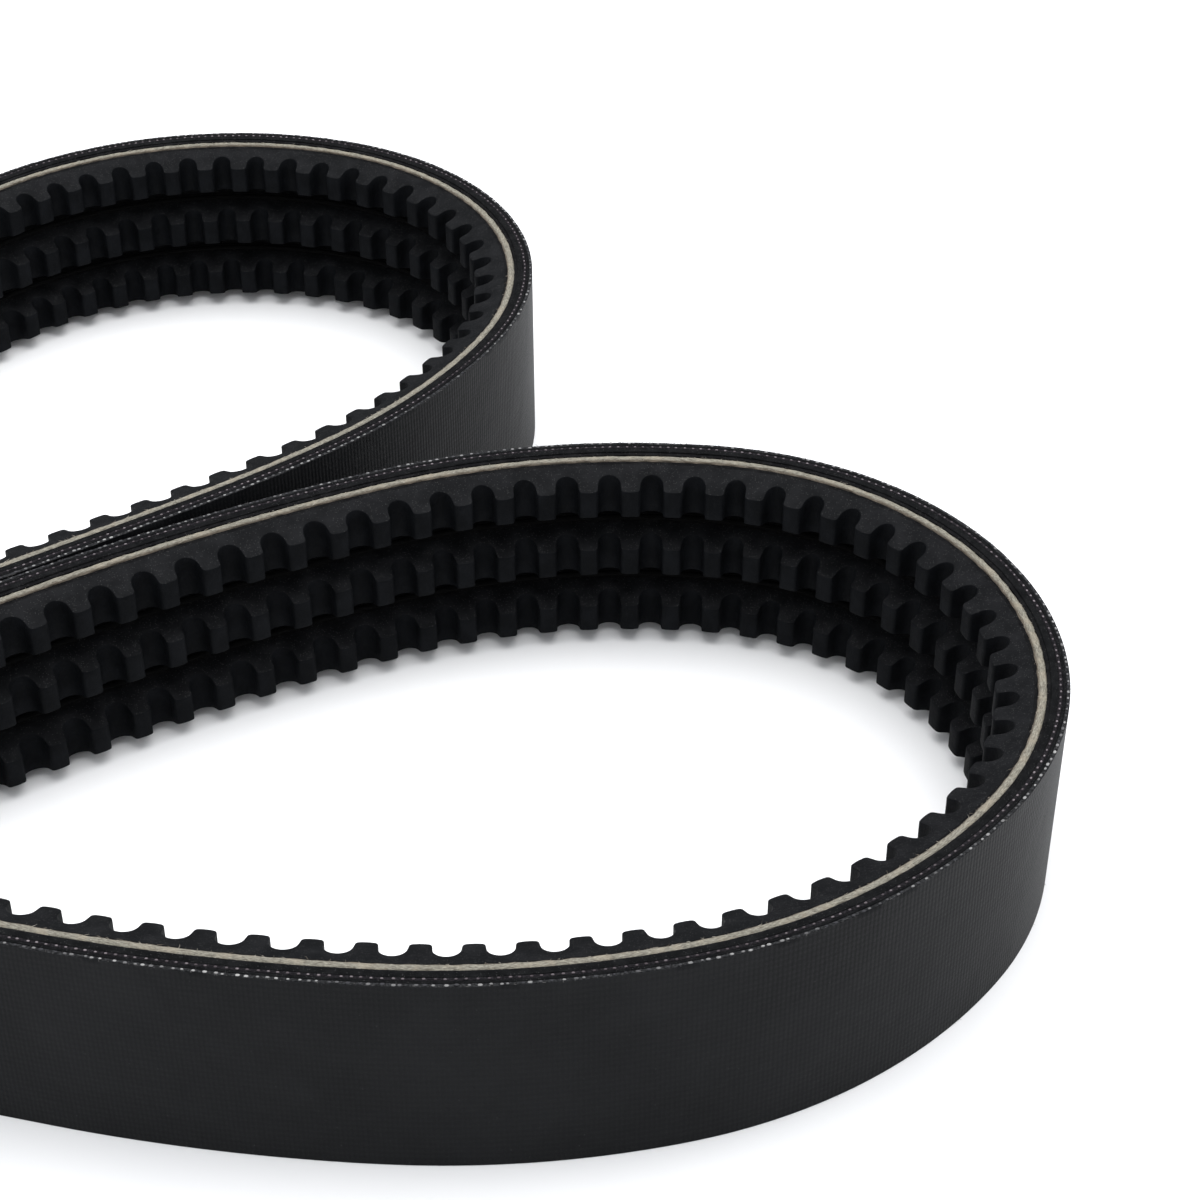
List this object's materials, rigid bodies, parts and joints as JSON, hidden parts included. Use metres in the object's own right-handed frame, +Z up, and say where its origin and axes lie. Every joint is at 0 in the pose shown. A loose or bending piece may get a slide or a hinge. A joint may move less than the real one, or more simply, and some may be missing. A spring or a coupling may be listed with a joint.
{
  "type": "banded cogged v belt",
  "caption": "Banded raw-edge V-belt with cogged ribs joined by a fabric-covered tie band, standing on its edge, laid in a folded C.",
  "frame": {"origin": "centre of the bounding box in plan, on the surface that the belt's lower edge stands on", "axes": "+Z up, parallel to the axes of the pulleys that the belt runs on; +X and +Y span the plane of the belt's loop as it is laid"},
  "size_m": [0.4694, 0.3634, 0.051],
  "materials": {
    "back_fabric": "matte rubberised weave",
    "inner_fabric": "rubberised weave, cut thread ends at its edges",
    "band_rubber": "cut rubber, matte",
    "cushion_rubber": "cut rubber, matte",
    "core_rubber": "fibre-loaded rubber, matte, speckled where it is cut",
    "tensile_cord": "cut polyester cord, fibrous"
  },
  "bodies": {
    "root": {"tie_band_outer_ply": "back_fabric", "tie_band_ply_rubber": "band_rubber", "tie_band_inner_ply": "inner_fabric", "tie_band_base_rubber": "band_rubber", "bottom_rib_cushion_rubber": "cushion_rubber", "bottom_rib_cogged_core": "core_rubber", "bottom_rib_cord_turn_1": "tensile_cord", "bottom_rib_cord_turn_2": "tensile_cord", "bottom_rib_cord_turn_3": "tensile_cord", "bottom_rib_cord_turn_4": "tensile_cord", "bottom_rib_cord_turn_5": "tensile_cord", "bottom_rib_cord_turn_6": "tensile_cord", "middle_rib_cushion_rubber": "cushion_rubber", "middle_rib_cogged_core": "core_rubber", "middle_rib_cord_turn_1": "tensile_cord", "middle_rib_cord_turn_2": "tensile_cord", "middle_rib_cord_turn_3": "tensile_cord", "middle_rib_cord_turn_4": "tensile_cord", "middle_rib_cord_turn_5": "tensile_cord", "middle_rib_cord_turn_6": "tensile_cord", "top_rib_cushion_rubber": "cushion_rubber", "top_rib_cogged_core": "core_rubber", "top_rib_cord_turn_1": "tensile_cord", "top_rib_cord_turn_2": "tensile_cord", "top_rib_cord_turn_3": "tensile_cord", "top_rib_cord_turn_4": "tensile_cord", "top_rib_cord_turn_5": "tensile_cord", "top_rib_cord_turn_6": "tensile_cord"}
  },
  "joints": []
}
